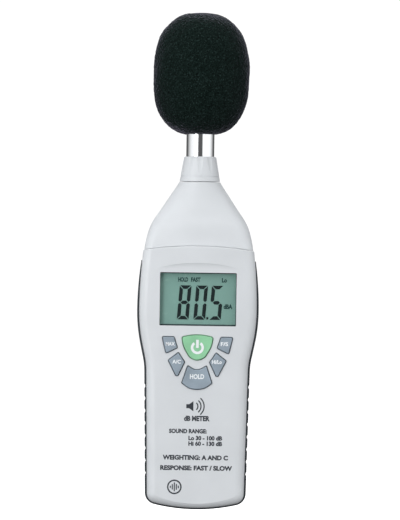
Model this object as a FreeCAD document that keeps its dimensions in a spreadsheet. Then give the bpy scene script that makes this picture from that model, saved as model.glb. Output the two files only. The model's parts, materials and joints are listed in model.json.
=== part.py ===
# Hand-held sound level meter with a half-inch microphone and a foam windscreen.
# Millimetres.  Front face looks along -Y, the microphone points along +Z, the
# microphone axis is the Z axis and the bottom of the rubber grip is at z = 0.
import math
import os
import re
import FreeCAD, Part

os.makedirs("parts", exist_ok=True)
doc = FreeCAD.newDocument("sound_level_meter")
sheet = doc.addObject("Spreadsheet::Sheet", "sizes")
V = {}
NODES = {}
vec = FreeCAD.Vector


def size(name, value):
    row = len(V) + 1
    V[name] = float(value)
    sheet.set("A%d" % row, name)
    sheet.set("B%d" % row, str(value))
    sheet.setAlias("B%d" % row, name)


# case outline
size("grip_proud", 1.0)
size("grip_bed", 0.9)
size("grip_seat", 0.82)
size("grip_front", -7.0)
size("grip_back", 7.0)
size("grip_top", 112.5)
size("case_half_width", 26.5)
size("belly_height", 90.0)
size("upper_radius", 244.0)
size("grip_upper_radius", 155.0)
size("outline_top", 123.0)
size("belly_radius", 71.0)
size("belly_turn", 11.8)
size("waist_line_end", 68.5)
size("waist_radius", 31.8)
size("handle_taper", 1.07)
size("corner_radius", 4.4)
size("base_radius", 81.0)
size("base_height", 1.0)
size("face", -16.0)
size("back", 16.0)
size("crown_radius", 280.0)
size("edge_round", 4.2)
size("wall", 2.2)
size("panel_face", -15.4)
size("panel_top", 113.4)
size("panel_arc", 150.0)
size("panel_blend", 4.0)
size("seam_top", 119.1)
size("seam_radius", 156.0)
size("seam_gap", 0.16)
size("seam_round", 0.5)
size("notch_pitch", 5.65)
size("notch_first", 16.1)
size("notch_radius", 1.5)
size("notch_depth", 0.42)
# nose and microphone
size("nose_step", 0.65)
size("nose_wall", 2.0)
size("nose_top", 148.05)
size("spigot_bottom", 114.9)
size("collar_bottom", 148.35)
size("collar_top", 159.6)
size("collar_foot_radius", 9.15)
size("collar_rim_radius", 7.3)
size("collar_spigot", 6.3)
size("collar_spigot_radius", 7.1)
size("collar_bore", 6.4)
size("flute_radius", 4.5)
size("tube_radius", 6.35)
size("tube_bore", 5.35)
size("tube_bottom", 138.0)
size("tube_shoulder", 203.0)
size("tube_neck_radius", 5.8)
size("tube_neck_top", 205.4)
size("tip_height", 210.0)
size("grid_wall", 0.5)
size("capsule_radius", 4.8)
size("capsule_bottom", 198.0)
size("capsule_top", 205.0)
size("foam_centre", 197.4)
size("foam_half_height", 27.5)
size("foam_low_height", 28.2)
size("foam_radius", 21.85)
size("foam_bore", 6.38)
size("foam_bore_top", 211.5)
size("foam_dish", 1.2)
# display
size("display_half_width", 17.25)
size("display_bottom", 83.1)
size("display_top", 107.1)
size("inner_face", -13.8)
size("seat_half_width", 19.3)
size("seat_bottom", 80.5)
size("seat_top", 109.8)
size("key_seat_half_width", 18.0)
size("key_seat_bottom", 52.0)
size("window_front", -13.75)
size("window_back", -12.75)
size("glass_front", -12.6)
size("glass_back", -10.6)
# boards and keys
size("board_front", -7.0)
size("board_back", -5.4)
size("board_half_width", 19.5)
size("board_bottom", 50.0)
size("board_top", 115.0)
size("key_top", -16.3)
size("key_flange_front", -13.75)
size("key_flange_back", -12.95)
size("key_gap", 0.38)
size("key_lip", 0.8)
size("pad_top", -11.9)
size("boss_x", 17.5)
size("boss_z", 111.9)
size("boss_radius", 2.4)
size("board_screw_x", 17.5)
size("board_screw_z", 53.0)
size("foot_boss_x", 18.2)
size("foot_boss_z", 9.8)
# battery bay, cover and rear fittings
size("battery_half_width", 13.25)
size("battery_front", -3.2)
size("battery_back", 14.3)
size("battery_bottom", 8.0)
size("battery_shoulder", 54.0)
size("bay_half_width", 14.3)
size("bay_bottom", 5.0)
size("bay_top", 62.0)
size("bay_floor", -4.5)
size("cover_inner", 14.4)
size("cover_half_width", 15.5)
size("cover_top", 60.0)
size("cover_gap", 0.1)
size("tripod_z", 78.0)
size("insert_radius", 4.5)
size("insert_length", 8.0)
size("thread_radius", 2.6)
size("trimmer_x", 12.0)
size("trimmer_z", 88.0)


def ex(text):
    return re.sub("[a-z][a-z_]+", lambda m: "sizes." + m.group(0)
                  if m.group(0) in V else m.group(0), str(text))


def num(text):
    """Number held by one name of the size sheet, with an optional leading minus."""
    name = str(text).strip()
    sign = -1.0 if name.startswith("-") else 1.0
    name = name.lstrip("-")
    return sign * (V[name] if name in V else float(name))


def add(kind, name):
    obj = doc.addObject(kind, name)
    return obj


def box(name, x, y, z):
    obj = add("Part::Box", name)
    for prop, axis, (low, high) in (("Length", "x", x), ("Width", "y", y), ("Height", "z", z)):
        obj.setExpression(prop, ex("(%s) - (%s)" % (high, low)))
        obj.setExpression("Placement.Base." + axis, ex(low))
    return obj


def rod(name, axis, at, start, end, radius):
    # round bar from start to end along the axis; at gives the two other coordinates
    obj = add("Part::Cylinder", name)
    turn = {"x": (vec(0, 1, 0), 90), "y": (vec(1, 0, 0), -90), "z": (vec(0, 0, 1), 0)}[axis]
    obj.Placement = FreeCAD.Placement(vec(0, 0, 0), FreeCAD.Rotation(*turn))
    obj.setExpression("Radius", ex(radius))
    obj.setExpression("Height", ex("(%s) - (%s)" % (end, start)))
    others = [a for a in "xyz" if a != axis]
    for name_of_axis, value in ((axis, start), (others[0], at[0]), (others[1], at[1])):
        obj.setExpression("Placement.Base." + name_of_axis, ex(value))
    return obj


def fuse(name, *parts):
    obj = add("Part::MultiFuse", name)
    obj.Shapes = list(parts)
    return obj


def cut(name, base, *tools):
    tool = tools[0] if len(tools) == 1 else fuse(name + "_tools", *tools)
    obj = add("Part::Cut", name)
    obj.Base, obj.Tool = base, tool
    return obj


def common_of(name, a, b):
    obj = add("Part::MultiCommon", name)
    obj.Shapes = [a, b]
    return obj


def tube(name, outer, inner, z0, z1):
    return cut(name, rod(name + "_outer", "z", (0, 0), z0, z1, outer),
               rod(name + "_bore", "z", (0, 0), "(%s) - 1" % z0, "(%s) + 1" % z1, inner))


def front_sketch(name, geometry):
    obj = add("Sketcher::SketchObject", name)
    obj.Placement = FreeCAD.Placement(vec(0, 0, 0), FreeCAD.Rotation(vec(1, 0, 0), 90))
    for item in geometry:
        obj.addGeometry(item, False)
    return obj


def grown(name, source, amount):
    obj = add("Part::Offset2D", name)
    obj.Source = source
    obj.setExpression("Value", ex(amount))
    return obj


def slab(name, profile, y0, y1):
    obj = add("Part::Extrusion", name)
    obj.Base = profile
    obj.DirMode = "Custom"
    obj.Dir = vec(0, 1, 0)
    obj.Solid = True
    obj.setExpression("LengthFwd", ex("(%s) - (%s)" % (y1, y0)))
    obj.setExpression("Placement.Base.y", ex(y0))
    return obj


def rounded(name, base, radius, pick):
    doc.recompute()
    obj = add("Part::Fillet", name)
    obj.Base = base
    chosen = [i + 1 for i, e in enumerate(base.Shape.Edges) if pick(e.BoundBox)]
    obj.Edges = [(i, radius, radius) for i in chosen]
    return obj


def node(label, obj):
    obj.Label = label
    NODES[label] = obj
    return obj


# ---------------------------------------------------------------- outlines
def arc(centre, radius, a0, a1):
    """Arc in the sketch plane, angles in degrees, counter-clockwise from a0 to a1."""
    circle = Part.Circle(vec(centre[0], centre[1], 0), vec(0, 0, 1), radius)
    return Part.ArcOfCircle(circle, math.radians(a0), math.radians(a1))


def on(centre, radius, angle):
    a = math.radians(angle)
    return centre[0] + radius * math.cos(a), centre[1] + radius * math.sin(a)


def line(p, q):
    return Part.LineSegment(vec(p[0], p[1], 0), vec(q[0], q[1], 0))


def mirrored(items):
    twins = []
    for item in items:
        if isinstance(item, Part.LineSegment):
            p, q = item.StartPoint, item.EndPoint
            twins.append(line((-p.x, p.y), (-q.x, q.y)))
        else:
            c = item.Center
            first, last = math.degrees(item.FirstParameter), math.degrees(item.LastParameter)
            twins.append(arc((-c.x, c.y), item.Radius, 180 - last, 180 - first))
    return items + twins


def case_outline(name, out, bend="upper_radius"):
    """Front outline of the case, moved outward by the named amount, arcs kept concentric."""
    grow = num(out)
    upper_radius = V[bend]
    turn, taper = V["belly_turn"], V["handle_taper"]
    upper = (V["case_half_width"] - upper_radius, V["belly_height"])
    belly = (V["case_half_width"] - V["belly_radius"], V["belly_height"])
    shoulder = on(belly, V["belly_radius"], -turn)
    drop = (shoulder[1] - V["waist_line_end"]) * math.tan(math.radians(turn))
    waist = on((shoulder[0] - drop, V["waist_line_end"]), V["waist_radius"], -turn)
    hip = on(waist, V["waist_radius"], 180 - taper)
    lean = math.radians(taper)
    # corner circle touches the tapered side and the base arc
    small, large = V["corner_radius"], V["base_radius"]
    base = (0.0, V["base_height"] + large)
    side = (hip[0] - small * math.cos(lean), hip[1] + small * math.sin(lean))
    step = (side[1] - base[1]) * math.cos(lean) + side[0] * math.sin(lean)
    span = side[0] ** 2 + (side[1] - base[1]) ** 2 - (large - small) ** 2
    run = step + math.sqrt(step ** 2 - span)
    corner = (side[0] - run * math.sin(lean), side[1] - run * math.cos(lean))
    heel = math.degrees(math.atan2(corner[1] - base[1], corner[0]))
    V["side_x"], V["side_z"] = hip
    rise = math.degrees(math.asin((V["outline_top"] - upper[1]) / (upper_radius + grow)))
    hollow = V["waist_radius"] - grow
    half = [arc(upper, upper_radius + grow, 0, rise),
            arc(belly, V["belly_radius"] + grow, -turn, 0),
            line(on(belly, V["belly_radius"] + grow, -turn), on(waist, hollow, 180 - turn)),
            arc(waist, hollow, 180 - turn, 180 - taper),
            line(on(waist, hollow, 180 - taper), on(corner, small + grow, -taper)),
            arc(corner, small + grow, heel, -taper),
            arc(base, large + grow, -90, heel)]
    top = on(upper, upper_radius + grow, rise)
    return front_sketch(name, mirrored(half) + [line(top, (-top[0], top[1]))])


def corners_outline(name, corners, flip):
    """Closed outline through corners (x, z, rounding radius); flip mirrors it in x."""
    pts = [(vec(-x if flip else x, z, 0), r) for x, z, r in corners]
    parts, joints = [], []
    for i, (p, r) in enumerate(pts):
        a = (pts[i - 1][0] - p).normalize()
        b = (pts[(i + 1) % len(pts)][0] - p).normalize()
        half = a.getAngle(b) / 2
        reach = r / math.tan(half)
        middle = (a + b).normalize() * (r / math.sin(half) - r)
        joints.append((p + a * reach, p + middle, p + b * reach))
    for i, (start, mid, end) in enumerate(joints):
        parts.append(Part.Arc(start, mid, end))
        follow = joints[(i + 1) % len(joints)][0]
        if (follow - end).Length > 0.01:
            parts.append(Part.LineSegment(end, follow))
    return front_sketch(name, parts)


def seam_trim(name, gap):
    """Large round bar whose top is the curved seam between body and nose."""
    return rod(name, "y", (0, "seam_top - seam_radius + (%s)" % gap), "-30", "30", "seam_radius")


def body_solid(name, inset):
    """Rounded slab of the body, inset from the outside by the given amount."""
    profile = case_outline(name + "_profile", "-" + inset if inset else "0")
    inset = inset or "0"
    flat = slab(name + "_slab", profile, "face + (%s)" % inset, "back - (%s)" % inset)
    reach = "crown_radius - (%s)" % inset
    crown = rod(name + "_crown", "z", (0, "face + crown_radius"), "-10", "140", reach)
    bowed = common_of(name + "_bowed", flat, crown)
    doc.recompute()
    radius = V["edge_round"] - (V["wall"] if inset != "0" else 0)
    top = V["outline_top"] - 3.5
    return rounded(name, bowed, radius, lambda b: b.ZMin < top and
                   (b.YMax < V["face"] + 5.5 or b.YMin > V["back"] - 3.0) and
                   b.DiagonalLength > 0.5)


def panel_tool():
    """Shallow flat cut for the display panel; its upper edge is an arc that blends in."""
    centre = V["panel_top"] - V["panel_arc"]
    reach = 24.0
    rise = centre + math.sqrt(V["panel_arc"] ** 2 - reach ** 2)
    side = math.degrees(math.acos(reach / V["panel_arc"]))
    profile = front_sketch("panel_profile", [
        arc((0, centre), V["panel_arc"], side, 180 - side), line((reach, rise), (reach, -8)),
        line((reach, -8), (-reach, -8)), line((-reach, -8), (-reach, rise))])
    block = slab("panel_block", profile, "-30", "panel_face")
    return rounded("panel_cut", block, V["panel_blend"],
                   lambda b: abs(b.YMin - b.YMax) < 0.01 and b.YMin > -20 and b.ZMin > 90)


# ---------------------------------------------------------------- keys
POWER = [(-7.35, 78.25, 1.2), (0, 80.0, 24.0), (7.35, 78.25, 1.2), (6.7, 73.9, 12.0),
         (3.6, 68.6, 3.6), (0, 67.15, 4.0), (-3.6, 68.6, 3.6), (-6.7, 73.9, 12.0)]
OUTER = [(-16.3, 78.4, 0.9), (-10.4, 78.4, 0.8), (-8.6, 73.0, 0.9), (-14.3, 70.2, 0.8)]
INNER = [(-13.4, 67.6, 0.7), (-8.4, 71.5, 0.6), (-5.3, 66.8, 0.7), (-8.4, 60.3, 0.7), (-9.7, 60.3, 0.7)]
HOLD = [(-4.35, 65.55, 0.5), (0, 63.0, 4.0), (4.35, 65.55, 0.5), (7.15, 57.3, 0.8),
        (3.9, 54.9, 5.0), (0, 53.95, 9.0), (-3.9, 54.9, 5.0), (-7.15, 57.3, 0.8)]
KEYS = {"key_power": (POWER, False), "key_max": (OUTER, False), "key_response": (OUTER, True),
        "key_weighting": (INNER, False), "key_range": (INNER, True), "key_hold": (HOLD, False)}
KEY_HOLES = []


def keys():
    for name, (corners, flip) in KEYS.items():
        profile = corners_outline(name + "_outline", corners, flip)
        inner = grown(name + "_inner", profile, "-key_gap")
        cap = slab(name + "_cap", inner, "key_top", "key_flange_back")
        lip = slab(name + "_lip", grown(name + "_wide", profile, "key_lip - key_gap"),
                   "key_flange_front", "key_flange_back")
        soft = rounded(name + "_soft", cap, 0.35, lambda b: abs(b.YMin - b.YMax) < 0.01
                       and b.YMax < V["key_top"] + 0.1)
        node(name, fuse(name, soft, lip))
        KEY_HOLES.append(slab(name + "_hole", profile, "-17", "inner_face + 0.5"))


# ---------------------------------------------------------------- case
def case_parts():
    outside = body_solid("case_outside", "")
    inside = body_solid("case_inside", "wall")
    bed = slab("grip_bed_block", case_outline("bed_outer", "3"), "grip_front", "grip_back")
    bed_core = slab("grip_bed_core", case_outline("bed_inner", "-grip_bed"), "-10", "10")
    below = box("below_grip_top", ("-40", "40"), ("-20", "20"), ("-10", "grip_top"))
    bed_ring = common_of("grip_bed_ring", cut("grip_bed_cut", bed, bed_core), below)
    squared = common_of("case_squared", outside, seam_trim("seam_bar", "0"))
    trimmed = rounded("case_trimmed", squared, V["seam_round"], lambda b: b.ZMin > 116.8)
    shell = cut("case_shell", trimmed, inside, panel_tool(), bed_ring)
    front_half = box("front_half", ("-40", "40"), ("-30", "0"), ("-10", "140"))
    rear_half = box("rear_half", ("-40", "40"), ("0", "30"), ("-10", "140"))
    front_case(common_of("front_shell", shell, front_half))
    rear_case(common_of("rear_shell", shell, rear_half), trimmed, inside, bed_ring)
    side_grip()


def front_case(shell):
    aperture = rounded("display_aperture", box(
        "display_aperture_box", ("-display_half_width", "display_half_width"), ("-20", "-12"),
        ("display_bottom", "display_top")), 0.4, lambda b: b.YLength > 2)
    bosses, bores = [], []
    for side, sign in (("l", "-"), ("r", "")):
        for tag, x, z, end in (("top", "boss_x", "boss_z", "board_front"),
                               ("foot", "foot_boss_x", "foot_boss_z", "0")):
            at = (sign + x, z)
            bosses.append(rod("boss_" + tag + side, "y", at, "inner_face - 0.8", end, "boss_radius"))
            bores.append(rod("bore_" + tag + side, "y", at, "inner_face + 0.6", end + " + 1", "1.2"))
        at = (sign + "board_screw_x", "board_screw_z")
        bosses.append(rod("board_boss_" + side, "y", at, "inner_face - 0.8", "board_front", "2"))
        bores.append(rod("board_bore_" + side, "y", at, "inner_face + 0.6", "board_front + 1", "0.9"))
    # flat seats inside the bowed front wall, for the window and for the key flanges
    window_seat = box("window_seat", ("-seat_half_width", "seat_half_width"), ("inner_face", "-11"),
                      ("seat_bottom", "seat_top"))
    key_seat = box("key_seat", ("-key_seat_half_width", "key_seat_half_width"), ("inner_face", "-11"),
                   ("key_seat_bottom + 4.8", "seat_bottom + 0.5"))
    hold_seat = box("hold_seat", ("-9", "9"), ("inner_face", "-11"), ("key_seat_bottom", "key_seat_bottom + 8"))
    seated = cut("front_seated", shell, window_seat, key_seat, hold_seat)
    whole = fuse("front_solid", seated, *bosses)
    node("front_case", cut("front_case", whole, aperture, *(bores + KEY_HOLES)))


def rear_case(shell, trimmed, inside, bed_ring):
    ribs = box("bay_block", ("-bay_half_width - 1.2", "bay_half_width + 1.2"),
               ("bay_floor", "back - 1"), ("bay_bottom - 4", "bay_top + 1.2"))
    ribs = common_of("bay_walls", ribs, inside)
    bosses, bores = [], []
    for side, sign in (("l", "-"), ("r", "")):
        for tag, x, z, start in (("top", "boss_x", "boss_z", "board_back"),
                                 ("foot", "foot_boss_x", "foot_boss_z", "0")):
            at = (sign + x, z)
            bosses.append(rod("rear_boss_" + tag + side, "y", at, start, "back - 1.5", "boss_radius + 0.5"))
            bores.append(rod("rear_bore_" + tag + side, "y", at, start + " - 1", "17", "1.5"))
            bores.append(rod("head_bore_" + tag + side, "y", at, "11.0", "17", "2.5"))
    tripod = rod("tripod_boss", "y", (0, "tripod_z"), "back - insert_length - 1.6", "back - 1.5",
                 "insert_radius + 1.8")
    whole = fuse("rear_solid", shell, ribs, tripod, *bosses)
    bay = box("bay_space", ("-bay_half_width", "bay_half_width"), ("bay_floor + 1.2", "18"),
              ("bay_bottom", "cover_top - 2"))
    bay_neck = box("bay_neck", ("-bay_half_width", "bay_half_width"), ("bay_floor + 1.2", "back - wall"),
                   ("cover_top - 3", "bay_top"))
    lead_gap = box("lead_gap", ("-4", "4"), ("-3", "2"), ("bay_top - 1", "bay_top + 3"))
    seat = box("cover_seat", ("-cover_half_width - cover_gap", "cover_half_width + cover_gap"),
               ("cover_inner - 0.05", "18"), ("-5", "cover_top + cover_gap"))
    rails = box("cover_rails", ("-cover_half_width - 0.9", "cover_half_width + 0.9"),
                ("14.7", "15.4"), ("-5", "cover_top - 2"))
    insert_hole = rod("insert_hole", "y", (0, "tripod_z"), "back - insert_length", "17", "insert_radius")
    adjust = rod("adjust_hole", "y", ("trimmer_x", "trimmer_z"), "10", "17", "2.2")
    label = box("label_bed", ("-15", "15"), ("back - 0.3", "17"), ("93.5", "109.5"))
    node("rear_case", cut("rear_case", whole, bed_ring, bay, bay_neck, lead_gap, seat, rails,
                          insert_hole, adjust, label, *bores))
    plate = box("cover_plate", ("-cover_half_width", "cover_half_width"), ("cover_inner", "17"),
                ("-5", "cover_top"))
    plate = common_of("cover_shape", trimmed, plate)
    lips = box("cover_lips", ("-cover_half_width - 0.75", "cover_half_width + 0.75"),
               ("14.8", "15.3"), ("7", "cover_top - 3"))
    grooves = [box("thumb_groove_%d" % i, ("-7", "7"), ("back - 0.5", "17"),
                   ("%.1f" % (44 + 2.2 * i), "%.1f" % (45 + 2.2 * i))) for i in range(5)]
    node("battery_cover", cut("battery_cover", fuse("cover_body", plate, lips), *grooves))
    node("rear_label", box("rear_label", ("-14.8", "14.8"), ("back - 0.28", "back - 0.03"),
                           ("93.7", "109.3")))


def side_grip():
    band = slab("grip_band", case_outline("grip_outer", "grip_proud", "grip_upper_radius"),
                "grip_front + 0.05", "grip_back - 0.05")
    core = slab("grip_core", case_outline("grip_inner", "-grip_seat"), "-10", "10")
    below = box("grip_range", ("-40", "40"), ("-20", "20"), ("-10", "grip_top - 0.05"))
    soft = rounded("grip_soft", band, 0.5, lambda b: abs(b.YMax - b.YMin) < 0.01 and b.ZMin < 110)
    ring = common_of("grip_ring", cut("grip_hollow", soft, core), below)
    notches = []
    for i in range(8):
        z = V["notch_first"] + i * V["notch_pitch"] * 0.9965
        edge = V["side_x"] - (V["side_z"] - z) * math.tan(math.radians(V["handle_taper"]))
        x = edge + V["grip_proud"] + V["notch_radius"] - V["notch_depth"]
        for tag, sign in (("l", -1), ("r", 1)):
            notches.append(rod("notch_%s%d" % (tag, i), "y", ("%.3f" % (sign * x), "%.3f" % z),
                               "-10", "10", "notch_radius"))
    node("side_grip", cut("side_grip", ring, *notches))


# ---------------------------------------------------------------- nose
def nose_section(z, half_width, half_depth, corner, bow, flank, inset):
    """Closed wire at height z: bowed front, bowed flanks and the corner arcs touching both."""
    a, b, r = half_width - inset, half_depth - inset, max(corner - inset, 0.6)
    bow, flank = bow - inset, flank - inset
    m, n = bow - b, flank - a
    # corner circle centre: at bow - r from (0, -m) and at flank - r from (-n, 0)
    gap = math.hypot(m, n)
    along = ((bow - r) ** 2 - (flank - r) ** 2 + gap ** 2) / (2 * gap)
    off = math.sqrt((bow - r) ** 2 - along ** 2)
    cx = (-n * along + m * off) / gap
    cy = -m + (m * along + n * off) / gap
    fx, fy = cx / (bow - r), (cy + m) / (bow - r)
    sx, sy = (cx + n) / (flank - r), cy / (flank - r)
    front = vec(fx * bow, fy * bow - m, z)
    side = vec(sx * flank - n, sy * flank, z)
    half = vec(fx + sx, fy + sy, 0).normalize()
    knee = vec(cx, cy, z) + half * r

    def flip(p, x, y):
        return vec(p.x * x, p.y * y, z)
    edges = []
    for x, y in ((1, 1), (-1, 1), (-1, -1), (1, -1)):
        ends = [flip(side, x, y), flip(knee, x, y), flip(front, x, y)]
        over = [flip(front, x, y), vec(0, y * b, z), flip(front, -x, y)]
        flank_arc = [flip(side, x, -y), vec(x * a, 0, z), flip(side, x, y)]
        edges.append((x, y, Part.Arc(*ends).toShape(), Part.Arc(*over).toShape(),
                      Part.Arc(*flank_arc).toShape()))
    order = [edges[0][4], edges[0][2], edges[0][3], edges[1][2], edges[1][4], edges[2][2],
             edges[2][3], edges[3][2]]
    return Part.Wire(order)


def nose_loft(inset, low):
    # heights up the nose with half width, half depth, corner radius and the two bows
    step = V["nose_step"]
    stations = [(low, 25.25 - step, 16.0 - step, 4.2, 280, 900),
                (119.8, 24.95 - step, 15.95 - step, 4.4, 250, 700),
                (124.0, 24.05 - step, 15.6 - step, 5.2, 150, 300), (128.0, 22.11, 14.7, 6.0, 90, 120),
                (132.0, 19.9, 13.65, 6.8, 60, 70), (136.1, 17.11, 12.5, 7.4, 36, 38),
                (140.2, 14.4, 11.35, 7.8, 22, 22), (144.3, 11.69, 10.2, 8.2, 13.5, 13.5),
                (V["nose_top"], 9.3, 9.25, 8.6, 9.7, 9.7)]
    # the wall is half as thick again at the foot, where the spigot joins it
    swell = [1.5, 1.5, 1.25] + [1.0] * (len(stations) - 3)
    wires = [nose_section(*(list(station) + [inset * k])) for station, k in zip(stations, swell)]
    return Part.makeLoft(wires, True, False)


def nose_shell():
    outer = add("Part::Feature", "nose_outside")
    outer.Shape = nose_loft(0, 115.0)
    inner = add("Part::Feature", "nose_inside")
    inner.Shape = nose_loft(V["nose_wall"], 115.0)
    trim = seam_trim("nose_seam_bar", "seam_gap")
    skirt = cut("nose_skirt", outer, inner, trim)
    spigot = []
    for name, inset in (("spigot_outside", V["wall"] + 0.35), ("spigot_inside", V["wall"] + 1.75)):
        plug = add("Part::Feature", name)
        wire = nose_section(V["spigot_bottom"], 25.1, 16, 4.2, 280, 900, inset)
        plug.Shape = Part.Face(wire).extrude(vec(0, 0, 7.5))
        spigot.append(plug)
    ring = cut("nose_spigot", *spigot)
    node("nose_shell", fuse("nose_shell", skirt, ring))


def collar():
    cone = add("Part::Cone", "collar_cone")
    cone.setExpression("Radius1", ex("collar_foot_radius"))
    cone.setExpression("Radius2", ex("collar_rim_radius"))
    cone.setExpression("Height", ex("collar_top - collar_bottom"))
    cone.setExpression("Placement.Base.z", ex("collar_bottom"))
    soft = rounded("collar_soft", cone, 0.7, lambda b: b.ZMin > V["collar_top"] - 0.1)
    plug = rod("collar_plug", "z", (0, 0), "collar_bottom - collar_spigot", "collar_bottom + 1",
               "collar_spigot_radius")
    bore = rod("collar_bore", "z", (0, 0), "130", "170", "collar_bore")
    band = tube("collar_band_groove", "12", "8.55", "collar_bottom + 2.2", "collar_bottom + 2.45")
    flutes = []
    low, high = vec(8.72, 0, 151.0), vec(6.87, 0, 159.6)
    lean = (high - low).normalize()
    outward = vec(lean.z, 0, -lean.x)
    for i in range(10):
        flute = add("Part::Cylinder", "flute_%d" % i)
        flute.setExpression("Radius", ex("flute_radius"))
        flute.setExpression("Height", ex("18"))
        spin = FreeCAD.Rotation(vec(0, 0, 1), 36.0 * i + 18.0)
        start = low + outward * V["flute_radius"] - lean * 3.0
        flute.Placement = FreeCAD.Placement(spin.multVec(start),
                                            spin.multiply(FreeCAD.Rotation(vec(0, 0, 1), lean)))
        flutes.append(flute)
    node("mic_collar", cut("mic_collar", fuse("collar_body", soft, plug), bore, band, *flutes))


def microphone():
    wide = tube("tube_wide", "tube_radius", "tube_bore", "tube_bottom", "tube_shoulder")
    neck = tube("tube_neck", "tube_neck_radius", "tube_bore", "tube_shoulder - 1", "tube_neck_top")
    node("mic_tube", fuse("mic_tube", wide, neck))
    cap = rod("grid_body", "z", (0, 0), "tube_shoulder + 0.05", "tip_height", "tube_radius")
    soft = rounded("grid_soft", cap, 0.6, lambda b: b.ZMin > V["tip_height"] - 0.1)
    bore = rod("grid_bore", "z", (0, 0), "200", "tip_height - grid_wall", "tube_neck_radius + 0.05")
    holes = [rod("grid_hole", "z", (0, 0), "208", "212", "0.75")]
    for ring, count, reach in ((0, 6, 2.3), (1, 10, 4.2)):
        for i in range(count):
            a = 2 * math.pi * i / count
            holes.append(rod("grid_hole_%d_%d" % (ring, i), "z", ("%.4f" % (reach * math.cos(a)),
                             "%.4f" % (reach * math.sin(a))), "208", "212", "0.7"))
    for i in range(4):
        slot = box("grid_slot_%d" % i, ("-8", "8"), ("-0.45", "0.45"), ("206.2", "208.2"))
        slot.Placement = FreeCAD.Placement(vec(0, 0, 0), FreeCAD.Rotation(vec(0, 0, 1), 45 * i + 22.5))
        slot.setExpression("Placement.Base.x", None)
        slot.setExpression("Placement.Base.y", None)
        turn = math.radians(45 * i + 22.5)
        slot.Placement.Base = vec(-8 * math.cos(turn) + 0.45 * math.sin(turn),
                                  -8 * math.sin(turn) - 0.45 * math.cos(turn), 206.2)
        holes.append(slot)
    node("mic_grid", cut("mic_grid", soft, bore, *holes))
    node("mic_capsule", rod("mic_capsule", "z", (0, 0), "capsule_bottom", "capsule_top", "capsule_radius"))
    node("capsule_seat", tube("capsule_seat", "tube_bore", "capsule_radius", "capsule_bottom + 0.5",
                              "capsule_top - 1.5"))
    node("tube_nut", cut("tube_nut", rounded("nut_soft", rod("nut_body", "z", (0, 0), "139", "141.8", "8.3"),
         0.3, lambda b: b.ZLength < 0.01), rod("nut_bore", "z", (0, 0), "138", "143", "tube_radius + 0.04")))


def windscreen():
    high, low, wide = V["foam_half_height"], V["foam_low_height"], V["foam_radius"]
    points = []
    for i in range(25):
        t = math.pi * i / 24 - math.pi / 2
        x = wide * abs(math.cos(t)) ** (2 / 2.4)
        z = V["foam_centre"] + (high if t > 0 else -low) * abs(math.sin(t)) ** (2 / 2.4)
        points.append(vec(x, z, 0))
    start = next(i for i, p in enumerate(points) if p.x > V["foam_bore"] + 1.0)
    mouth = V["foam_bore"] + 0.7
    rim = V["foam_centre"] - low * (1 - (mouth / wide) ** 2.4) ** (1 / 2.4)
    outer = [vec(mouth, rim, 0)] + points[start:]
    outer[-1] = vec(0, outer[-1].y, 0)
    curve = Part.BSplineCurve()
    curve.interpolate(outer)
    bore, dish = V["foam_bore"], outer[0].y + V["foam_dish"]
    top = V["foam_bore_top"]
    sketch = front_sketch("foam_profile", [
        curve, line((0, outer[-1].y), (0, top)), line((0, top), (bore, top)),
        line((bore, top), (bore, dish)), line((bore, dish), (outer[0].x, outer[0].y))])
    foam = add("Part::Revolution", "windscreen")
    foam.Source = sketch
    foam.Axis = vec(0, 0, 1)
    foam.Solid = True
    foam.setExpression("Angle", "360")
    node("windscreen", foam)


# ---------------------------------------------------------------- display
def display():
    node("display_window", box("display_window", ("-19", "19"), ("window_front", "window_back"),
                               ("81.0", "109.3")))
    node("display_glass", box("display_glass", ("-18.6", "18.6"), ("glass_front", "glass_back"),
                              ("81.7", "108.6")))
    frame = box("frame_block", ("-20", "20"), ("window_back + 0.05", "board_front"), ("80.7", "109.3"))
    room = box("frame_room", ("-18.7", "18.7"), ("-20", "-5"), ("81.6", "108.7"))
    node("display_frame", cut("display_frame", frame, room))
    node("display_reflector", box("display_reflector", ("-17.6", "17.6"), ("glass_back + 0.1", "-8.2"),
                                  ("85.0", "107.5")))
    strip = rounded("strip_soft", box("strip_body", ("-17.6", "17.6"), ("glass_back + 0.03", "board_front - 0.03"),
                    ("82.0", "84.0")), 0.4, lambda b: b.XLength > 10)
    node("contact_strip", strip)


# ---------------------------------------------------------------- board
def board():
    plate = box("board_plate", ("-board_half_width", "board_half_width"),
                ("board_front", "board_back"), ("board_bottom", "board_top"))
    soft = rounded("board_soft", plate, 1.5, lambda b: b.YLength > 1)
    bores = []
    for side, sign in (("l", "-"), ("r", "")):
        bores.append(rod("board_hole_top_" + side, "y", (sign + "boss_x", "boss_z"), "-9", "-3", "1.5"))
        bores.append(rod("board_hole_low_" + side, "y", (sign + "board_screw_x", "board_screw_z"),
                         "-9", "-3", "1.2"))
    node("main_board", cut("main_board", soft, *bores))
    sheet_body = box("mat_sheet", ("-17.2", "17.2"), ("board_front - 1.0", "board_front - 0.02"), ("55.2", "79.6"))
    pads = []
    for name, x, z in (("power", 0, 73.6), ("max", -12.4, 74.8), ("response", 12.4, 74.8),
                       ("weighting", -9.2, 66.4), ("range", 9.2, 66.4), ("hold", 0, 59.4)):
        cone = add("Part::Cone", "pad_" + name)
        cone.setExpression("Radius1", "2.1")
        cone.setExpression("Radius2", "1.5")
        cone.setExpression("Height", ex("board_front - 0.5 - pad_top"))
        cone.Placement = FreeCAD.Placement(vec(x, V["board_front"] - 0.5, z),
                                           FreeCAD.Rotation(vec(1, 0, 0), 90))
        pads.append(cone)
    node("key_mat", fuse("key_mat", sheet_body, *pads))


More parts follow.
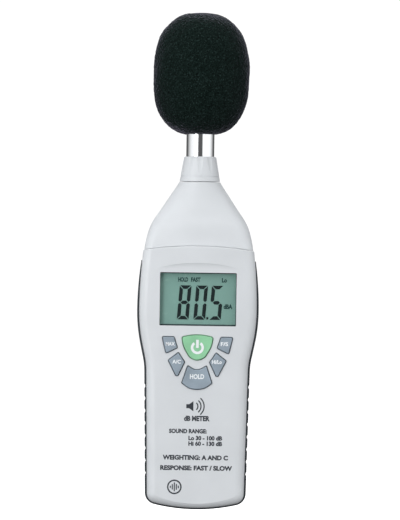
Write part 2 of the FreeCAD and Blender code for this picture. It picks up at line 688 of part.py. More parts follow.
def chip(name, x, z, wide, tall, deep, legs):
    """Moulded package on the back of the board with a row of legs on two sides."""
    back = "board_back"
    body = box(name + "_body", ("%s" % (x - wide / 2), "%s" % (x + wide / 2)),
               (back + " + 0.12", back + " + %s" % deep), ("%s" % (z - tall / 2), "%s" % (z + tall / 2)))
    pins = [box(name + "_pin%d" % i, ("%s" % (x - wide / 2 - 0.9), "%s" % (x + wide / 2 + 0.9)),
                (back + " + 0.01", back + " + 0.4"),
                ("%.3f" % (z - tall / 2 + tall * (i + 0.5) / legs - 0.2),
                 "%.3f" % (z - tall / 2 + tall * (i + 0.5) / legs + 0.2))) for i in range(legs)]
    node(name, fuse(name, body, *pins))


def components():
    chip("meter_chip", -3.0, 98.0, 10.0, 10.0, 1.7, 8)
    chip("filter_chip", -12.0, 86.0, 4.0, 5.0, 1.5, 4)
    chip("preamp_chip", 6.0, 109.0, 4.0, 5.0, 1.5, 4)
    can = rounded("crystal_soft", box("crystal_can", ("9.8", "13.8"), ("board_back + 0.02", "board_back + 3.4"),
                  ("97.0", "107.5")), 1.2, lambda b: b.YLength > 2)
    node("clock_crystal", can)
    pots = []
    for i, (x, z) in enumerate(((-13.5, 97.0), (-13.5, 104.5), (-6.0, 86.5))):
        pots.append(rounded("capacitor_soft_%d" % i, rod("capacitor_%d" % i, "y", (x, z), "board_back + 0.02",
                    "board_back + 6.5", "2.5"), 0.4, lambda b: b.YLength < 0.01))
    names = ("supply_capacitor", "filter_capacitor", "output_capacitor")
    for name, pot in zip(names, pots):
        node(name, pot)
    base = box("trimmer_block", ("trimmer_x - 3.3", "trimmer_x + 3.3"), ("board_back + 0.02", "board_back + 4.2"),
               ("trimmer_z - 3.5", "trimmer_z + 3.5"))
    well = rod("trimmer_well", "y", ("trimmer_x", "trimmer_z"), "board_back + 2.6", "board_back + 6", "2.25")
    node("trimmer_body", cut("trimmer_body", base, well))
    disc = rod("rotor_disc", "y", ("trimmer_x", "trimmer_z"), "board_back + 2.7", "board_back + 5.0", "2.2")
    slot = box("rotor_slot", ("trimmer_x - 3", "trimmer_x + 3"), ("board_back + 4.1", "board_back + 7"),
               ("trimmer_z - 0.35", "trimmer_z + 0.35"))
    node("trimmer_rotor", cut("trimmer_rotor", disc, slot))


# ---------------------------------------------------------------- power
def battery():
    case = rounded("battery_soft", box("battery_case", ("-battery_half_width", "battery_half_width"),
                   ("battery_front", "battery_back - 0.05"), ("battery_bottom", "battery_shoulder")), 1.6,
                   lambda b: b.ZLength > 10)
    middle = "(battery_front + battery_back) / 2"
    male = rod("terminal_plus", "z", ("-6.35", middle), "battery_shoulder - 0.5", "battery_shoulder + 2.4", "2.9")
    female = cut("terminal_minus", rod("terminal_cup", "z", ("6.35", middle), "battery_shoulder - 0.5",
                 "battery_shoulder + 2.4", "3.6"), rod("terminal_well", "z", ("6.35", middle),
                 "battery_shoulder + 0.6", "battery_shoulder + 4", "2.9"))
    node("battery", fuse("battery", case, male, female))
    plate = rounded("snap_soft", box("snap_body", ("-12.6", "12.6"), (middle + " - 6", middle + " + 6"),
                    ("battery_shoulder + 0.15", "battery_shoulder + 4.6")), 2.5, lambda b: b.ZLength > 4)
    wells = [rod("snap_well_" + tag, "z", (x, middle), "battery_shoulder - 1", "battery_shoulder + 2.7", "3.75")
             for tag, x in (("l", "-6.35"), ("r", "6.35"))]
    node("battery_snap", cut("battery_snap", plate, *wells))
    node("battery_pad", box("battery_pad", ("-11", "11"), ("-2.5", "12.5"), ("bay_bottom + 0.05",
                            "battery_bottom - 0.05")))


def lead(label, points, radius):
    """Round wire along straight runs, each bend an arc tangent to the two runs it joins."""
    pts = [vec(*p) for p in points]
    edges, start = [], pts[0]
    for before, corner, after in zip(pts, pts[1:], pts[2:]):
        a, b = (before - corner), (after - corner)
        half = a.getAngle(b) / 2
        trim = 0.45 * min(a.Length, b.Length)
        a, b = a.normalize(), b.normalize()
        bend = trim * math.tan(half)
        middle = corner + (a + b).normalize() * (bend / math.sin(half) - bend)
        edges.append(Part.LineSegment(start, corner + a * trim).toShape())
        edges.append(Part.Arc(corner + a * trim, middle, corner + b * trim).toShape())
        start = corner + b * trim
    edges.append(Part.LineSegment(start, pts[-1]).toShape())
    ring = Part.Circle(pts[0], pts[1] - pts[0], radius)
    path = add("Part::Feature", label + "_path")
    path.Shape = Part.Wire(edges).makePipeShell([Part.Wire(ring.toShape())], True, True)
    node(label, path)


def leads():
    # both ends of every lead meet their face square on, 0.03 mm clear of it
    top, middle = V["battery_shoulder"] + 4.63, (V["battery_front"] + V["battery_back"]) / 2
    board_side = V["board_back"] + 0.03
    for label, side in (("battery_lead_red", -1), ("battery_lead_black", 1)):
        lead(label, [(side * 2.4, middle - 3.0, top), (side * 2.4, middle - 3.0, top + 2.6),
                     (side * 2.4, -0.9, top + 2.9), (side * 2.7, -1.2, 73.9), (side * 2.7, board_side, 73.9)], 0.6)
    for label, side in (("mic_lead_signal", -1), ("mic_lead_ground", 1)):
        lead(label, [(side * 1.6, 0, V["capsule_bottom"] - 0.03), (side * 1.6, 0, 168.0),
                     (side * 1.9, 0.2, 140.0), (side * 2.4, -0.6, 112.4), (side * 2.4, board_side, 112.4)], 0.45)


# ---------------------------------------------------------------- fixings
def fixings():
    body = rod("insert_body", "y", (0, "tripod_z"), "back - insert_length + 0.02", "back - 0.1",
               "insert_radius - 0.02")
    soft = rounded("insert_soft", body, 0.3, lambda b: b.YLength < 0.01 and b.YMax > 15)
    node("tripod_insert", cut("tripod_insert", soft, rod("insert_thread", "y", (0, "tripod_z"),
         "back - insert_length + 1.0", "17", "thread_radius")))
    for tag, sign in (("left", "-"), ("right", "")):
        screw("case_screw_top_" + tag, sign + "boss_x", "boss_z", "-11.0", "12.6", "2.2", "1.15")
        screw("case_screw_foot_" + tag, sign + "foot_boss_x", "foot_boss_z", "-8.0", "12.6", "2.2", "1.15")
        screw("board_screw_" + tag, sign + "board_screw_x", "board_screw_z", "-12.0", "-4.2", "1.7", "0.85")


def screw(name, x, z, tip, head, head_radius, radius):
    top = "(%s)" % head
    shank = rod(name + "_shank", "y", (x, z), tip, top + " - 0.5", radius)
    cap = rounded(name + "_soft", rod(name + "_head", "y", (x, z), top + " - 1.55" if head == "12.6" else
                  top + " - 1.18", top, head_radius), 0.3, lambda b: b.YLength < 0.01)
    body = fuse(name + "_body", shank, cap)
    bar = "(%s)" % x
    cross = [box(name + "_slot_a", (bar + " - 1.2", bar + " + 1.2"), (top + " - 0.6", top + " + 1"),
                 (z + " - 0.22", z + " + 0.22")),
             box(name + "_slot_b", (bar + " - 0.22", bar + " + 0.22"), (top + " - 0.6", top + " + 1"),
                 (z + " - 1.2", z + " + 1.2"))]
    node(name, cut(name, body, *cross))


keys()
case_parts()
nose_shell()
collar()
microphone()
windscreen()
display()
board()
components()
battery()
leads()
fixings()
doc.recompute()

for obj in doc.Objects:
    bad = [s for s in obj.State if s in ("Invalid", "Error")]
    if bad:
        raise RuntimeError("%s: %s" % (obj.Label, bad))
for label, obj in NODES.items():
    shape = obj.Shape
    if shape.isNull() or not shape.isValid():
        raise RuntimeError("bad shape: " + label)
    if len(shape.Solids) != 1:
        print("solids", label, len(shape.Solids))
    shape.exportStep("parts/%s.step" % label)
print(len(NODES), "sub-parts written")
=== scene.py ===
"""Hand-held sound level meter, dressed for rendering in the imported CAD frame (metres)."""
import json
import math
import bmesh
import bpy
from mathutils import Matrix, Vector, noise


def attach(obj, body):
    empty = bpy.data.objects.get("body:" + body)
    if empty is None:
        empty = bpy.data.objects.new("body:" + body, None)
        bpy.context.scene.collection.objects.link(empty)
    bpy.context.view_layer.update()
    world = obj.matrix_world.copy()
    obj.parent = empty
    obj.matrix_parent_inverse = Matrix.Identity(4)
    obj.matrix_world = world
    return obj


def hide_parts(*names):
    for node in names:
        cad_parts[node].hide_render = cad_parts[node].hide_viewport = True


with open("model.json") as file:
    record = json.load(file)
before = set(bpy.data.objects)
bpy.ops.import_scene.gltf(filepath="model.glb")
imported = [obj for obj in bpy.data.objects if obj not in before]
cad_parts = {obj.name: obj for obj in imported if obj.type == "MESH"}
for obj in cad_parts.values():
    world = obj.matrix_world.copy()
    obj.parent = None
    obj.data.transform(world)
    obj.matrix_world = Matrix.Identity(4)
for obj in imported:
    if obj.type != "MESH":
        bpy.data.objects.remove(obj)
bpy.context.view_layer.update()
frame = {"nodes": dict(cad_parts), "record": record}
NODES = frame["nodes"]
MM = 0.001
PRINT_LIFT = 0.000012     # print stands this far off its surface, metres
PRINT_THICKNESS = 0.00002
WORD_HALF_THICKNESS = 0.00001
DIGIT_LIFT = 0.00001      # the display's digits and words, off the glass
DISPLAY_WORD_LIFT = 0.00003
CAPITAL_SHARE = 0.69      # capital height over the font's size
# faces that carry print, in millimetres along Y
PANEL_FACE = -15.4
KEY_TOP = -16.3
WINDOW_BACK = -12.72
GLASS_FRONT = -12.6
LABEL_FACE = 15.97
BACK_FACE = 16.0


# ------------------------------------------------------------------ materials
def srgb(r, g, b):
    def lin(c):
        c /= 255.0
        return c / 12.92 if c <= 0.04045 else ((c + 0.055) / 1.055) ** 2.4
    return (lin(r), lin(g), lin(b), 1.0)


class Shade:
    """One node material: a Principled surface with wear, grain and bump built from noise."""

    def __init__(self, name, color, rough, metal=0.0):
        self.mat = bpy.data.materials.new(name)
        self.mat.use_nodes = True
        self.nodes = self.mat.node_tree.nodes
        self.links = self.mat.node_tree.links
        self.bsdf = self.nodes["Principled BSDF"]
        self.set("Base Color", color)
        self.set("Roughness", rough)
        self.set("Metallic", metal)
        self.coord = self.nodes.new("ShaderNodeTexCoord").outputs["Object"]
        self.height = None

    def set(self, socket, value):
        self.bsdf.inputs[socket].default_value = value
        return self

    def noise(self, size, detail=2.0, stretch=(1, 1, 1), rough=0.5):
        """Noise whose features are about size metres across; returns its 0 to 1 output."""
        mapping = self.nodes.new("ShaderNodeMapping")
        mapping.inputs["Scale"].default_value = [1.0 / (size * s) for s in stretch]
        self.links.new(self.coord, mapping.inputs["Vector"])
        tex = self.nodes.new("ShaderNodeTexNoise")
        tex.inputs["Scale"].default_value = 1.0
        tex.inputs["Detail"].default_value = detail
        tex.inputs["Roughness"].default_value = rough
        self.links.new(mapping.outputs["Vector"], tex.inputs["Vector"])
        return tex.outputs["Fac"]

    def cells(self, size, feature="F1"):
        mapping = self.nodes.new("ShaderNodeMapping")
        mapping.inputs["Scale"].default_value = [1.0 / size] * 3
        self.links.new(self.coord, mapping.inputs["Vector"])
        tex = self.nodes.new("ShaderNodeTexVoronoi")
        tex.feature = feature
        tex.inputs["Scale"].default_value = 1.0
        self.links.new(mapping.outputs["Vector"], tex.inputs["Vector"])
        return tex.outputs["Distance"]

    def ramp(self, fac, stops):
        node = self.nodes.new("ShaderNodeValToRGB")
        ramp = node.color_ramp
        while len(ramp.elements) < len(stops):
            ramp.elements.new(0.5)
        for element, (at, value) in zip(ramp.elements, stops):
            element.position = at
            element.color = value if isinstance(value, tuple) else (value, value, value, 1)
        self.links.new(fac, node.inputs["Fac"])
        return node.outputs["Color"]

    def vary(self, socket, fac, low, high, start=0.3, end=0.7):
        node = self.nodes.new("ShaderNodeMapRange")
        node.inputs["From Min"].default_value = start
        node.inputs["From Max"].default_value = end
        node.inputs["To Min"].default_value = low
        node.inputs["To Max"].default_value = high
        self.links.new(fac, node.inputs["Value"])
        self.links.new(node.outputs["Result"], self.bsdf.inputs[socket])
        return self

    def bump(self, fac, depth, strength=1.0):
        node = self.nodes.new("ShaderNodeBump")
        node.inputs["Distance"].default_value = depth
        node.inputs["Strength"].default_value = strength
        self.links.new(fac, node.inputs["Height"])
        if self.height:
            self.links.new(self.height, node.inputs["Normal"])
        self.height = node.outputs["Normal"]
        self.links.new(self.height, self.bsdf.inputs["Normal"])
        return self

    def tint(self, fac, dark, light, start=0.3, end=0.7):
        self.links.new(self.ramp(fac, [(start, dark), (end, light)]), self.bsdf.inputs["Base Color"])
        return self


def shade(color, factor):
    return tuple(c * factor for c in color[:3]) + (1.0,)


def moulded(name, color, rough=0.42, grain=0.00016, depth=0.000012, specular=0.45):
    m = Shade(name, color, rough)
    m.tint(m.noise(0.018, 3.0), shade(color, 0.965), shade(color, 1.02))
    m.vary("Roughness", m.noise(0.011, 4.0), rough - 0.05, rough + 0.07)
    m.bump(m.noise(grain, 1.0), depth)
    m.bump(m.noise(0.006, 2.0), 0.00001)
    m.set("Specular IOR Level", specular)
    return m.mat


def rubbery(name, color, rough=0.62, grain=0.00025, depth=0.00003):
    m = Shade(name, color, rough)
    m.tint(m.noise(0.009, 3.0), shade(color, 0.85), shade(color, 1.12))
    m.vary("Roughness", m.noise(0.004, 4.0), rough - 0.08, rough + 0.1)
    m.bump(m.noise(grain, 1.5), depth)
    m.set("Specular IOR Level", 0.3)
    return m.mat


def metal(name, color, rough, brushed=None, marks=0.00001):
    m = Shade(name, color, rough, 1.0)
    m.vary("Roughness", m.noise(0.004, 4.0), rough * 0.7, rough * 1.4)
    if brushed:
        m.bump(m.noise(0.0004, 2.0, brushed), marks)
    else:
        m.bump(m.noise(0.0009, 3.0), marks * 0.5)
    return m.mat


def foam_material():
    m = Shade("screen_foam", srgb(12, 20, 19), 0.95)
    # strands keep the foam's own dark green; painted shade takes the cell middles to near black where shade
    # falls into the open pores
    strand_and_pore_shade_colours = [(0.0, srgb(18, 32, 29)), (0.16, srgb(3, 13, 10)), (0.5, srgb(0, 3, 2))]
    strands_and_pore_shade = m.ramp(m.cells(0.0009, "DISTANCE_TO_EDGE"), strand_and_pore_shade_colours)
    # painted highlight: small light specks mixed into the foam's colour for the sparkle of light off its
    # strands
    painted_glints = m.ramp(m.noise(0.00055, 2.0, rough=0.7), [(0.56, 0.0), (0.68, 1.0)])
    mix = m.nodes.new("ShaderNodeMix")
    mix.data_type = "RGBA"
    m.links.new(painted_glints, mix.inputs[0])
    m.links.new(strands_and_pore_shade, mix.inputs[6])
    mix.inputs[7].default_value = srgb(46, 62, 60)
    m.links.new(mix.outputs[2], m.bsdf.inputs["Base Color"])
    m.bump(m.cells(0.0011, "F1"), 0.0004, 0.8)
    m.bump(m.noise(0.00045, 3.0), 0.00025, 0.7)
    m.set("Specular IOR Level", 0.08)
    m.set("Sheen Weight", 0.6)
    m.set("Sheen Roughness", 0.24)
    m.set("Sheen Tint", srgb(182, 176, 200))
    return m.mat


def clear_window():
    m = Shade("window_clear", (0.12, 0.14, 0.14, 1), 0.06)
    m.set("Alpha", 0.07)
    m.set("IOR", 1.49)
    m.vary("Roughness", m.noise(0.006, 3.0), 0.03, 0.09)
    m.bump(m.noise(0.012, 2.0), 0.000004)
    return m.mat


def display_material():
    green = srgb(140, 182, 172)
    m = Shade("display_glass", green, 0.22)
    m.tint(m.noise(0.02, 2.0), shade(green, 0.96), shade(green, 1.03))
    m.vary("Roughness", m.noise(0.005, 3.0), 0.18, 0.28)
    m.bump(m.noise(0.00012, 1.0), 0.000002)
    return m.mat


def board_material():
    m = Shade("board_laminate", srgb(16, 84, 44), 0.35)
    traces = m.cells(0.0021, "DISTANCE_TO_EDGE")
    m.links.new(m.ramp(traces, [(0.0, srgb(40, 128, 66)), (0.09, srgb(34, 112, 58)),
                                (0.11, srgb(12, 70, 36))]), m.bsdf.inputs["Base Color"])
    m.bump(traces, 0.00003, 0.4)
    m.vary("Roughness", m.noise(0.003, 2.0), 0.28, 0.42)
    return m.mat


MATERIALS = {
    "shell_plastic": moulded("shell_plastic", srgb(216, 220, 224)),
    "grip_rubber": rubbery("grip_rubber", srgb(54, 59, 65)),
    "tube_chrome": metal("tube_chrome", srgb(228, 230, 232), 0.09, (14, 14, 1), 0.000001),
    "grid_metal": metal("grid_metal", srgb(196, 198, 200), 0.26, (1, 1, 0.1), 0.000004),
    "capsule_metal": metal("capsule_metal", srgb(204, 205, 207), 0.3, (1, 1, 0.2)),
    "seat_plastic": moulded("seat_plastic", srgb(36, 36, 38), 0.5),
    "key_green": rubbery("key_green", srgb(146, 207, 164), 0.5, 0.0002, 0.00001),
    "key_grey": rubbery("key_grey", srgb(146, 160, 172), 0.5, 0.0002, 0.00001),
    "mat_rubber": rubbery("mat_rubber", srgb(176, 178, 176)),
    "window_clear": clear_window(),
    "display_glass": display_material(),
    "frame_plastic": moulded("frame_plastic", srgb(40, 40, 42), 0.5),
    "reflector_plastic": moulded("reflector_plastic", srgb(236, 240, 234), 0.25),
    "strip_rubber": rubbery("strip_rubber", srgb(222, 160, 172)),
    "board_laminate": board_material(),
    "chip_resin": moulded("chip_resin", srgb(30, 30, 31), 0.55, 0.0001, 0.00001),
    "crystal_can": metal("crystal_can", srgb(205, 205, 200), 0.24, (1, 1, 0.2)),
    "capacitor_sleeve": moulded("capacitor_sleeve", srgb(26, 30, 66), 0.28),
    "trimmer_blue": moulded("trimmer_blue", srgb(24, 84, 170), 0.35),
    "trimmer_white": moulded("trimmer_white", srgb(228, 224, 210), 0.4),
    "screw_steel": metal("screw_steel", srgb(186, 186, 180), 0.3, (1, 0.2, 1)),
    "insert_brass": metal("insert_brass", srgb(214, 178, 96), 0.28, (1, 0.2, 1), 0.00002),
    "nut_metal": metal("nut_metal", srgb(190, 190, 188), 0.3, (1, 1, 0.2)),
    "battery_jacket": moulded("battery_jacket", srgb(48, 50, 56), 0.3, 0.0004, 0.000004),
    "snap_vinyl": rubbery("snap_vinyl", srgb(30, 30, 32), 0.45),
    "pad_sponge": rubbery("pad_sponge", srgb(52, 52, 54), 0.95, 0.0006, 0.0002),
    "lead_red": rubbery("lead_red", srgb(176, 26, 26), 0.4, 0.0004, 0.00001),
    "lead_black": rubbery("lead_black", srgb(24, 24, 26), 0.4, 0.0004, 0.00001),
    "lead_white": rubbery("lead_white", srgb(226, 226, 222), 0.4, 0.0004, 0.00001),
    "label_film": moulded("label_film", srgb(190, 193, 197), 0.3, 0.00008, 0.000004),
    "screen_foam": foam_material(),
}
INK = moulded("print_ink", srgb(48, 53, 61), 0.5, 0.0001, 0.000004)
WHITE_INK = moulded("legend_ink", srgb(240, 244, 247), 0.45, 0.0001, 0.000004)
SEGMENT = moulded("display_segment", srgb(12, 30, 32), 0.4, 0.0001, 0.000001, 0.1)
SMALL_SEGMENT = moulded("display_words_ink", srgb(40, 74, 72), 0.4, 0.0001, 0.000001, 0.1)
# painted shade: grey-teal tone for the thin shadow lines just inside the display opening
PAINTED_RIM_SHADE = moulded("window_rim_painted_shade", srgb(62, 78, 80), 0.5, 0.0001, 0.000001, 0.1)

slot_of = {s["node"]: s["material_slot"] for s in frame["record"]["subparts"]}
for node, obj in NODES.items():
    obj.data.materials.clear()
    obj.data.materials.append(MATERIALS[slot_of[node]])


# ------------------------------------------------------------------ prints
def ride_flat(obj, material, body):
    obj.data.materials.append(material)
    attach(obj, body)
    return obj


def face_shapes(name, outlines, y, material, body, back=False):
    """Flat printed shapes on a plane at y; outlines are lists of (x, z) in millimetres."""
    verts, faces = [], []
    lift = PRINT_THICKNESS if back else -PRINT_THICKNESS
    for outline in outlines:
        first = len(verts)
        n = len(outline)
        verts += [(x * MM, y, z * MM) for x, z in outline]
        verts += [(x * MM, y + lift, z * MM) for x, z in outline]
        faces.append(tuple(range(first + n, first + 2 * n)))
        faces.append(tuple(reversed(range(first, first + n))))
        faces += [(first + i, first + (i + 1) % n, first + n + (i + 1) % n, first + n + i)
                  for i in range(n)]
    mesh = bpy.data.meshes.new(name)
    mesh.from_pydata(verts, [], faces)
    mesh.validate()
    bm = bmesh.new()
    bm.from_mesh(mesh)
    bmesh.ops.recalc_face_normals(bm, faces=bm.faces)
    bm.to_mesh(mesh)
    bm.free()
    obj = bpy.data.objects.new(name, mesh)
    bpy.context.scene.collection.objects.link(obj)
    return ride_flat(obj, material, body)


def words(name, text, x, z, height, y, material, body, width=None, back=False, bold=0.075):
    """A line of print; height is the capital height and x, z its middle, in millimetres."""
    curve = bpy.data.curves.new(name, "FONT")
    curve.body = text
    curve.align_x = "CENTER"
    curve.align_y = "CENTER"
    curve.size = height * MM / CAPITAL_SHARE
    curve.extrude = WORD_HALF_THICKNESS
    curve.offset = bold * height * MM
    curve.resolution_u = 3
    obj = bpy.data.objects.new(name, curve)
    bpy.context.scene.collection.objects.link(obj)
    obj.rotation_euler = (math.pi / 2, 0, math.pi if back else 0)
    obj.location = (x * MM, y, z * MM)
    if width:
        bpy.context.view_layer.update()
        obj.scale.x = width * MM / obj.dimensions.x
    return ride_flat(obj, material, body)


def arc_band(cx, cz, inner, outer, start, end, steps):
    angles = [math.radians(start + (end - start) * i / steps) for i in range(steps + 1)]
    rim = [(cx + outer * math.cos(a), cz + outer * math.sin(a)) for a in angles]
    return rim + [(cx + inner * math.cos(a), cz + inner * math.sin(a)) for a in reversed(angles)]


def block(x0, z0, x1, z1):
    return [(x0, z0), (x1, z0), (x1, z1), (x0, z1)]


def digit(char, x, z, height, width, stroke, slant):
    """Seven-segment strokes of one digit, leaning right by slant per unit of height."""
    lit = {"8": "abcdefg", "0": "abcdef", "5": "acdfg"}[char]
    s, gap, h, w = stroke, stroke * 0.14, height, width
    half = h / 2
    strokes = {
        "a": [(gap, h), (w - gap, h), (w - s - gap, h - s), (s + gap, h - s)],
        "d": [(gap, 0), (s + gap, s), (w - s - gap, s), (w - gap, 0)],
        "g": [(s * 0.5 + gap, half), (s + gap, half + s / 2), (w - s - gap, half + s / 2),
              (w - s * 0.5 - gap, half), (w - s - gap, half - s / 2), (s + gap, half - s / 2)],
        "f": [(0, h - gap), (s, h - s - gap), (s, half + s / 2 + gap), (s * 0.5, half + gap),
              (0, half + s * 0.5)],
        "e": [(0, gap), (0, half - s * 0.5), (s * 0.5, half - gap), (s, half - s / 2 - gap),
              (s, s + gap)],
        "b": [(w, h - gap), (w, half + s * 0.5), (w - s * 0.5, half + gap), (w - s, half + s / 2 + gap),
              (w - s, h - s - gap)],
        "c": [(w, gap), (w - s, s + gap), (w - s, half - s / 2 - gap), (w - s * 0.5, half - gap),
              (w, half - s * 0.5)],
    }
    return [[(x + px + slant * pz, z + pz) for px, pz in strokes[k]] for k in lit]


def display_prints():
    front = GLASS_FRONT * MM
    shapes = []
    for char, x in (("8", -9.5), ("0", -2.05), ("5", 5.0)):
        shapes += digit(char, x, 85.9, 15.4, 5.35, 1.62, 0.075)
    dot = block(3.8, 86.0, 4.75, 87.1)
    shapes.append(dot)
    face_shapes("display_digits", shapes, front - DIGIT_LIFT, SEGMENT, "meter_body")
    # painted shade: dark strips on the back of the window, just inside the opening, where the opening's walls
    # throw thin shadow lines onto the display
    rim_shade = [block(-18.4, 106.7, 18.4, 108.4), block(-18.4, 81.9, 18.4, 83.8),
            block(-18.4, 83.8, -17.15, 106.7), block(16.95, 83.8, 18.4, 106.7)]
    face_shapes("window_rim_painted_shade_strips", rim_shade, WINDOW_BACK * MM, PAINTED_RIM_SHADE, "meter_body")
    y = front - DISPLAY_WORD_LIFT
    words("display_hold", "HOLD", -6.9, 103.8, 1.8, y, SMALL_SEGMENT, "meter_body", 4.5)
    words("display_fast", "FAST", -1.25, 103.8, 1.8, y, SMALL_SEGMENT, "meter_body", 4.3)
    words("display_range_word", "Lo", 11.7, 103.7, 1.8, y, SMALL_SEGMENT, "meter_body", 2.3)
    words("display_unit", "dBA", 13.45, 91.8, 1.9, y, SMALL_SEGMENT, "meter_body", 4.0)


def key_prints():
    y = KEY_TOP * MM - PRINT_LIFT
    ring = arc_band(0, 73.35, 1.8, 2.95, 125, 415, 40)
    face_shapes("power_mark", [ring, block(-0.6, 73.2, 0.6, 76.9)], y, WHITE_INK, "key_power")
    for name, text, x, z, height, width in (
            ("key_max", "MAX", -12.3, 74.8, 1.5, 4.1), ("key_response", "F/S", 12.1, 75.0, 1.6, 3.4),
            ("key_weighting", "A/C", -9.2, 66.8, 1.6, 3.9), ("key_range", "Hi/Lo", 8.85, 66.9, 1.6, 4.4),
            ("key_hold", "HOLD", 0, 60.2, 2.0, 6.4)):
        words(name + "_legend", text, x, z, height, y, WHITE_INK, name, width, bold=0.05)


def front_prints():
    y = PANEL_FACE * MM - PRINT_LIFT
    body = "meter_body"
    waves = [arc_band(-1.4, 46.9, r - 0.55, r, -50, 50, 12) for r in (2.3, 3.7, 5.1)]
    horn = [[(-4.6, 46.0), (-3.3, 46.0), (-1.4, 44.6), (-1.4, 49.2), (-3.3, 47.8), (-4.6, 47.8)]]
    face_shapes("front_wave_mark", horn + waves, y, INK, body)
    words("front_title", "dB METER", 0.1, 41.3, 2.1, y, INK, body, 11.6)
    words("front_range_title", "SOUND RANGE:", -3.7, 35.6, 1.75, y, INK, body, 17.0)
    words("front_range_low", "Lo 30 - 100 dB", 4.1, 32.5, 1.75, y, INK, body, 15.2)
    words("front_range_high", "Hi 60 - 130 dB", 4.1, 30.0, 1.75, y, INK, body, 15.2)
    words("front_weighting", "WEIGHTING: A AND C", -0.1, 23.7, 1.9, y, INK, body, 29.4)
    words("front_response", "RESPONSE: FAST / SLOW", 0.1, 19.0, 1.9, y, INK, body, 32.4)
    rings = [arc_band(-9.45, 10.5, 2.65, 3.3, start, start + 180.5, 20) for start in (90, 270)]
    bars = [block(-11.5 + 0.9 * i, 10.5 - h, -11.0 + 0.9 * i, 10.5 + h)
            for i, h in enumerate((0.5, 1.2, 2.0, 1.3, 0.6))]
    face_shapes("front_level_mark", rings + bars, y, INK, body)


def rear_prints():
    y = LABEL_FACE * MM + PRINT_LIFT
    body = "meter_body"
    words("label_title", "SOUND LEVEL METER", 0, 106.6, 1.7, y, INK, body, 24, back=True)
    words("label_range", "RANGE 30 - 130 dB", 0, 103.2, 1.3, y, INK, body, 18, back=True)
    words("label_supply", "SUPPLY 9 V", 0, 99.9, 1.3, y, INK, body, 11, back=True)
    back_print = BACK_FACE * MM + PRINT_LIFT
    words("adjust_word", "ADJ", 12.0, 84.6, 1.2, back_print, INK, body, 3.0, back=True)
    arrow = [(-2.2, 40.6), (2.2, 40.6), (0, 37.4)]
    face_shapes("cover_arrow", [arrow], back_print, INK, "cover_body", back=True)
    words("cover_word", "OPEN", 0, 35.2, 1.5, back_print, INK, "cover_body", 5.2, back=True)


# ------------------------------------------------------------------ foam
def foam_windscreen():
    """Rounded foam body with pitted open-cell skin, a little fuller at the bottom than its CAD solid."""
    centre, high, low, wide, bore = 197.4, 27.5, 28.2, 21.85, 6.4
    power_above, power_below = 2.45, 2.7
    rows, columns = 190, 300
    profile = []
    for i in range(rows + 1):
        t = math.pi * i / rows - math.pi / 2
        power = power_above if t > 0 else power_below
        r = wide * abs(math.cos(t)) ** (2 / power)
        profile.append((r, centre + (high if t > 0 else -low) * abs(math.sin(t)) ** (2 / power)))
    outer = [p for p in profile if p[0] > bore + 0.7 or p[1] > centre]
    first = outer[0]
    lip = [(bore, first[1] + 1.2), (bore + 0.15, first[1] + 0.5), (bore + 0.4, first[1] + 0.1)]
    path = [(bore, 211.0), (bore, 190.0)] + lip + outer[:-1]
    verts, faces = [], []
    for r, z in path:
        for k in range(columns):
            a = 2 * math.pi * k / columns
            p = Vector((r * math.cos(a), r * math.sin(a), z))
            if r > bore + 0.1:
                out = Vector((p.x, p.y, (z - centre) * 0.35)).normalized()
                pit = noise.noise(p * 1.25) * 0.17 + noise.noise(p * 0.6) * 0.10
                pit += 0.35 * noise.noise(p * 0.11)
                deep = max(0.0, noise.noise(p * 0.9 + Vector((7, 3, 1))) - 0.42) * 0.9
                p -= out * (0.08 + pit + deep)
            verts.append(p * MM)
    for i in range(len(path) - 1):
        for k in range(columns):
            a, b = i * columns + k, i * columns + (k + 1) % columns
            faces.append((a, b, b + columns, a + columns))
    verts.append(Vector((0, 0, (centre + high - 0.25) * MM)))
    top = (len(path) - 1) * columns
    faces += [(top + k, top + (k + 1) % columns, len(verts) - 1) for k in range(columns)]
    verts.append(Vector((0, 0, 211.0 * MM)))
    faces += [((k + 1) % columns, k, len(verts) - 1) for k in range(columns)]
    mesh = bpy.data.meshes.new("foam_windscreen")
    mesh.from_pydata(verts, [], faces)
    for poly in mesh.polygons:
        poly.use_smooth = True
    mesh.update()
    obj = bpy.data.objects.new("foam_windscreen", mesh)
    bpy.context.scene.collection.objects.link(obj)
    mesh.materials.append(MATERIALS["screen_foam"])
    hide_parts("windscreen")
    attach(obj, "windscreen_body")


display_prints()
key_prints()
front_prints()
rear_prints()
foam_windscreen()


# ------------------------------------------------------------------ studio
def floor():
    """The meter is held by its tripod thread, so the floor lies below the open battery cover."""
    bpy.ops.mesh.primitive_circle_add(vertices=96, radius=6.0, fill_type="NGON", location=(0, 0, -0.062))
    plane = bpy.context.active_object
    plane.name = "floor"
    m = Shade("floor_paint", (0.86, 0.86, 0.86, 1), 0.75)
    m.tint(m.noise(0.4, 2.0), (0.85, 0.85, 0.85, 1), (0.87, 0.87, 0.87, 1))
    m.set("Specular IOR Level", 0.1)
    m.set("Emission Color", (1, 1, 1, 1))
    m.set("Emission Strength", 0.8)
    plane.data.materials.append(m.mat)
    plane.visible_diffuse = False
    plane.visible_glossy = False


def area(name, location, target, size, power):
    light = bpy.data.lights.new(name, "AREA")
    light.shape = "RECTANGLE"
    light.size, light.size_y = size
    light.energy = power
    obj = bpy.data.objects.new(name, light)
    obj.location = location
    obj.rotation_mode = "QUATERNION"
    obj.rotation_quaternion = (Vector(target) - Vector(location)).to_track_quat("-Z", "Y")
    bpy.context.scene.collection.objects.link(obj)
    return obj


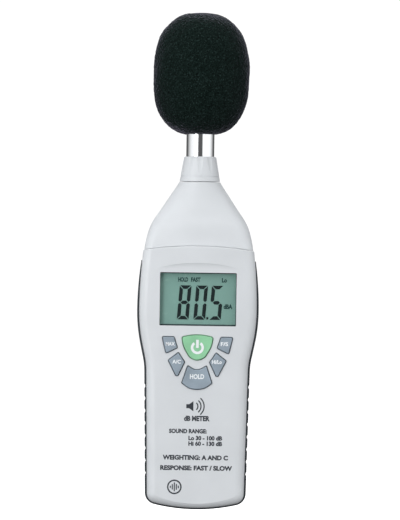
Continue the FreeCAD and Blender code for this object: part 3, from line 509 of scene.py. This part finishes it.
def studio_world():
    """White surroundings with two bright soft walls in front and darker gaps between."""
    world = bpy.data.worlds.new("studio")
    bpy.context.scene.world = world
    world.use_nodes = True
    nodes, links = world.node_tree.nodes, world.node_tree.links
    nodes.clear()
    coord = nodes.new("ShaderNodeTexCoord")
    split = nodes.new("ShaderNodeSeparateXYZ")
    links.new(coord.outputs["Generated"], split.inputs["Vector"])
    angle = nodes.new("ShaderNodeMath")
    angle.operation = "ARCTAN2"
    links.new(split.outputs["X"], angle.inputs[0])
    flip = nodes.new("ShaderNodeMath")
    flip.operation = "MULTIPLY"
    flip.inputs[1].default_value = -1.0
    links.new(split.outputs["Y"], flip.inputs[0])
    links.new(flip.outputs[0], angle.inputs[1])
    scale = nodes.new("ShaderNodeMapRange")
    scale.inputs["From Min"].default_value = -math.pi
    scale.inputs["From Max"].default_value = math.pi
    links.new(angle.outputs[0], scale.inputs["Value"])
    ramp = nodes.new("ShaderNodeValToRGB")
    levels = [(-180, 0.15), (-134, 0.1), (-124, 0.2), (-113, 0.45), (-98, 0.8), (-75, 1.2), (-21, 1.42),
              (-16, 0.12), (16, 0.12), (21, 1.4), (70, 1.4), (92, 1.15), (108, 0.72), (120, 0.34), (132, 0.1),
              (180, 0.15)]
    while len(ramp.color_ramp.elements) < len(levels):
        ramp.color_ramp.elements.new(0.5)
    for element, (degrees, level) in zip(ramp.color_ramp.elements, levels):
        element.position = (degrees + 180) / 360
        element.color = (level, level, level, 1)
    links.new(scale.outputs["Result"], ramp.inputs["Fac"])
    height = nodes.new("ShaderNodeValToRGB")
    rows = [(0.0, 0.35), (0.35, 0.5), (0.45, 0.9), (0.5, 1.0), (0.58, 1.0), (0.7, 0.6), (1.0, 0.55)]
    while len(height.color_ramp.elements) < len(rows):
        height.color_ramp.elements.new(0.5)
    for element, (at, level) in zip(height.color_ramp.elements, rows):
        element.position = at
        element.color = (level, level, level, 1)
    lift = nodes.new("ShaderNodeMapRange")
    lift.inputs["From Min"].default_value = -1.0
    links.new(split.outputs["Z"], lift.inputs["Value"])
    links.new(lift.outputs["Result"], height.inputs["Fac"])
    studio = nodes.new("ShaderNodeBackground")
    links.new(height.outputs["Color"], studio.inputs["Strength"])
    links.new(ramp.outputs["Color"], studio.inputs["Color"])
    plain = nodes.new("ShaderNodeBackground")
    plain.inputs["Color"].default_value = (1, 1, 1, 1)
    plain.inputs["Strength"].default_value = 1.05
    path = nodes.new("ShaderNodeLightPath")
    mix = nodes.new("ShaderNodeMixShader")
    links.new(path.outputs["Is Camera Ray"], mix.inputs["Fac"])
    links.new(studio.outputs[0], mix.inputs[1])
    links.new(plain.outputs[0], mix.inputs[2])
    out = nodes.new("ShaderNodeOutputWorld")
    links.new(mix.outputs[0], out.inputs["Surface"])


def camera():
    cam = bpy.data.cameras.new("camera")
    cam.sensor_width = 36.0
    distance = 2.0
    view_height = 0.2351     # what the frame holds from top to bottom at the meter
    cam.lens = cam.sensor_width * distance / view_height
    cam.clip_start, cam.clip_end = 0.05, 50
    obj = bpy.data.objects.new("camera", cam)
    bpy.context.scene.collection.objects.link(obj)
    roll = math.radians(-0.85)
    # level with the middle of the meter, which leans by the roll
    obj.location = (0.0006, -distance - 0.007, 0.1128)
    obj.rotation_euler = (math.pi / 2, roll, 0)
    bpy.context.scene.camera = obj


scene = bpy.context.scene
scene.view_settings.view_transform = "Standard"
scene.view_settings.look = "None"
floor()
studio_world()
area("key_light", (-0.6, -0.85, 0.3), (0, 0, 0.11), (0.3, 0.3), 3.6)
area("front_light", (-0.05, -0.45, 0.62), (0, 0, 0.12), (0.6, 0.4), 1.0)
area("top_light", (0, 0.5, 2.4), (0, 0, 0.0), (2.0, 2.0), 24)
area("back_light", (0.0, 0.8, 0.75), (0, 0, 0.12), (0.7, 0.5), 5.0)
camera()
